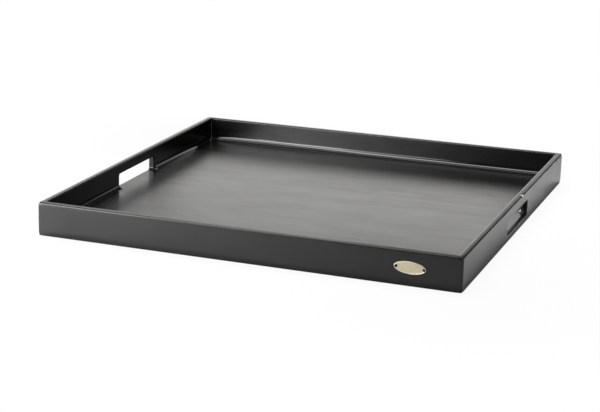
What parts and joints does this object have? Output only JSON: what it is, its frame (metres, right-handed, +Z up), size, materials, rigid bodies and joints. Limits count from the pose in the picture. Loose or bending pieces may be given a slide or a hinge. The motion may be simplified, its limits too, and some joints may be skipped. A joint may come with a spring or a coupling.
{
  "type": "serving tray",
  "caption": "Large square serving tray with low mitred rails, a hand hole in each side rail, cove strips round the floor and a small oval plate on the front.",
  "frame": {"origin": "centre of the tray's underside, on the surface it stands on", "axes": "+Z up, -Y towards the front rail with the oval plate, +X towards the right rail"},
  "size_m": [0.65, 0.6516, 0.0515],
  "materials": {
    "lacquered_wood": "satin black lacquer over wood, faintly streaked",
    "bare_beech": "bare, sanded",
    "pale_brass": "pale, satin field with a polished border",
    "blackened_steel": "blackened, semi-matt"
  },
  "bodies": {
    "root": {"front_rail": "lacquered_wood", "back_rail": "lacquered_wood", "left_rail": "lacquered_wood", "right_rail": "lacquered_wood", "floor_panel": "lacquered_wood", "cove_front": "lacquered_wood", "cove_back": "lacquered_wood", "cove_left_front": "lacquered_wood", "cove_left_back": "lacquered_wood", "cove_right_front": "lacquered_wood", "cove_right_back": "lacquered_wood", "corner_bead_front_left": "lacquered_wood", "corner_bead_front_right": "lacquered_wood", "corner_bead_back_left": "lacquered_wood", "corner_bead_back_right": "lacquered_wood", "corner_biscuit_front_left": "bare_beech", "corner_biscuit_front_right": "bare_beech", "corner_biscuit_back_left": "bare_beech", "corner_biscuit_back_right": "bare_beech", "label_plate": "pale_brass", "label_pin_left": "blackened_steel", "label_pin_right": "blackened_steel"}
  },
  "joints": []
}
